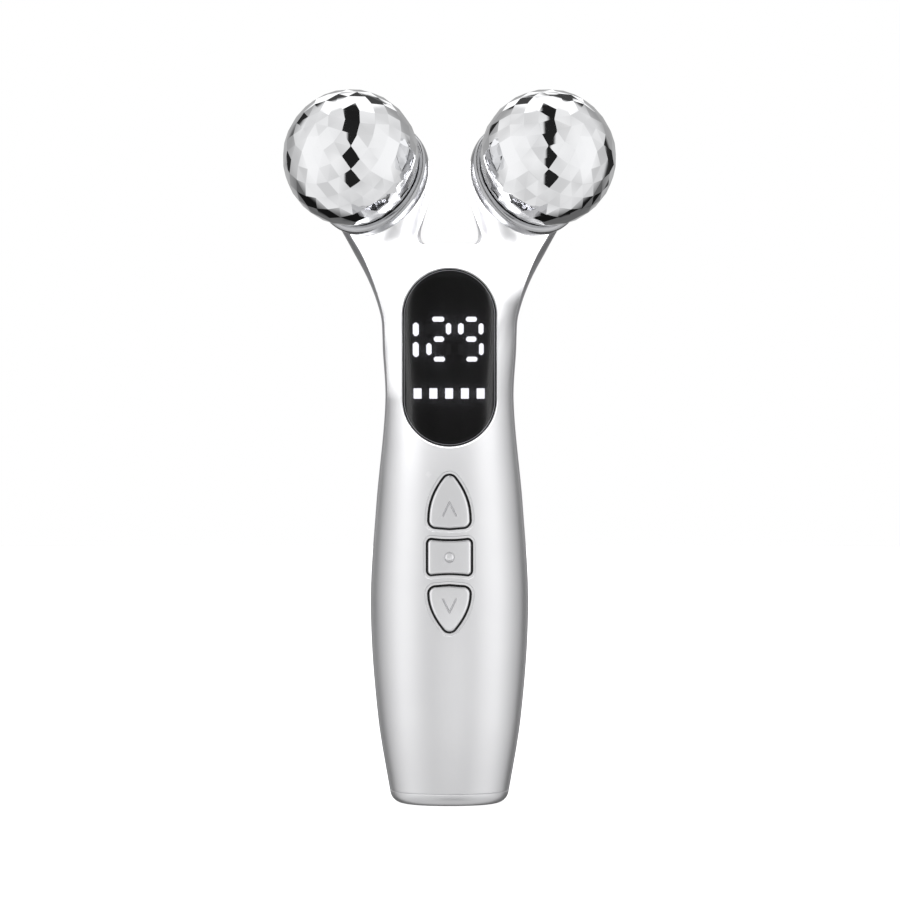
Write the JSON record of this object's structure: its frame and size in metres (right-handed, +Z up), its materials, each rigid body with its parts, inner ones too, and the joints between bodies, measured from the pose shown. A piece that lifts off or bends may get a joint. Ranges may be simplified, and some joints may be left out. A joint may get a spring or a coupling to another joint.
{
  "type": "facial toning device",
  "caption": "Waisted satin silver handle that forks into two arms, each with a free-spinning faceted chrome ball, and a smoked display over push keys",
  "frame": {"origin": "middle of the flat face of the base, which the device can stand on", "axes": "+Z up the handle towards the balls, -Y out of the front with the display and keys, +X to the viewer's right"},
  "size_m": [0.075, 0.0409, 0.1621],
  "materials": {
    "satin_silver": "satin silver plated plastic",
    "satin_silver_rear": "satin silver plated plastic, a little darker",
    "chrome_ball": "mirror-polished facets",
    "chrome_cup": "polished, smooth",
    "smoked_lens": "gloss, smoked",
    "light_pipe": "lit white",
    "reflector_black": "matt black",
    "key_silver": "satin silver, brighter rim",
    "core_plastic": "moulded, matt",
    "black_plastic": "moulded, matt",
    "board_green": "solder mask, satin",
    "chip_black": "moulded, matt",
    "cell_blue": "shrink sleeve, gloss",
    "foam_grey": "soft foam",
    "steel": "turned",
    "bronze": "sintered, matt",
    "seal_rubber": "matt",
    "slip_washer": "satin",
    "lead_red": "satin sleeve"
  },
  "bodies": {
    "root": {"front_shell": "satin_silver", "rear_shell": "satin_silver_rear", "base_cap": "satin_silver", "display_lens": "smoked_lens", "display_segments": "light_pipe", "display_reflector": "reflector_black", "switch_housings": "black_plastic", "main_board": "board_green", "board_parts": "chip_black", "battery": "cell_blue", "battery_holder": "black_plastic", "battery_pad": "foam_grey", "charging_socket": "steel", "charge_board": "board_green", "shell_screws": "steel", "battery_leads": "lead_red", "charge_leads": "lead_red", "left_axle": "steel", "left_axle_clip": "steel", "left_thrust_washer": "slip_washer", "left_cup": "chrome_cup", "left_cup_seal": "seal_rubber", "left_axle_nut": "steel", "left_terminal": "bronze", "left_ball_lead": "lead_red", "right_axle": "steel", "right_axle_clip": "steel", "right_thrust_washer": "slip_washer", "right_cup": "chrome_cup", "right_cup_seal": "seal_rubber", "right_axle_nut": "steel", "right_terminal": "bronze", "right_ball_lead": "lead_red"},
    "left_ball": {"left_ball_skin": "chrome_ball", "left_ball_core": "core_plastic", "left_bushes": "bronze"},
    "right_ball": {"right_ball_skin": "chrome_ball", "right_ball_core": "core_plastic", "right_bushes": "bronze"},
    "up_button": {"up_key": "key_silver", "up_plunger": "black_plastic"},
    "mode_button": {"mode_key": "key_silver", "mode_plunger": "black_plastic"},
    "down_button": {"down_key": "key_silver", "down_plunger": "black_plastic"}
  },
  "joints": [
    {"name": "left_ball_spin", "type": "hinge", "parent": "root", "child": "left_ball", "pos_m": [-0.0222, -0.0115, 0.1467], "axis": [-0.4841, -0.7747, 0.4067], "continuous": true},
    {"name": "right_ball_spin", "type": "hinge", "parent": "root", "child": "right_ball", "pos_m": [0.0222, -0.0115, 0.1467], "axis": [0.4841, -0.7747, 0.4067], "continuous": true},
    {"name": "up_press", "type": "slide", "parent": "root", "child": "up_button", "axis": [0, 1, 0], "range_m": [0, 0.0005], "stiffness_N_per_m": 800, "springref_m": -0.0015},
    {"name": "mode_press", "type": "slide", "parent": "root", "child": "mode_button", "axis": [0, 1, 0], "range_m": [0, 0.0005], "stiffness_N_per_m": 800, "springref_m": -0.0015},
    {"name": "down_press", "type": "slide", "parent": "root", "child": "down_button", "axis": [0, 1, 0], "range_m": [0, 0.0005], "stiffness_N_per_m": 800, "springref_m": -0.0015}
  ]
}
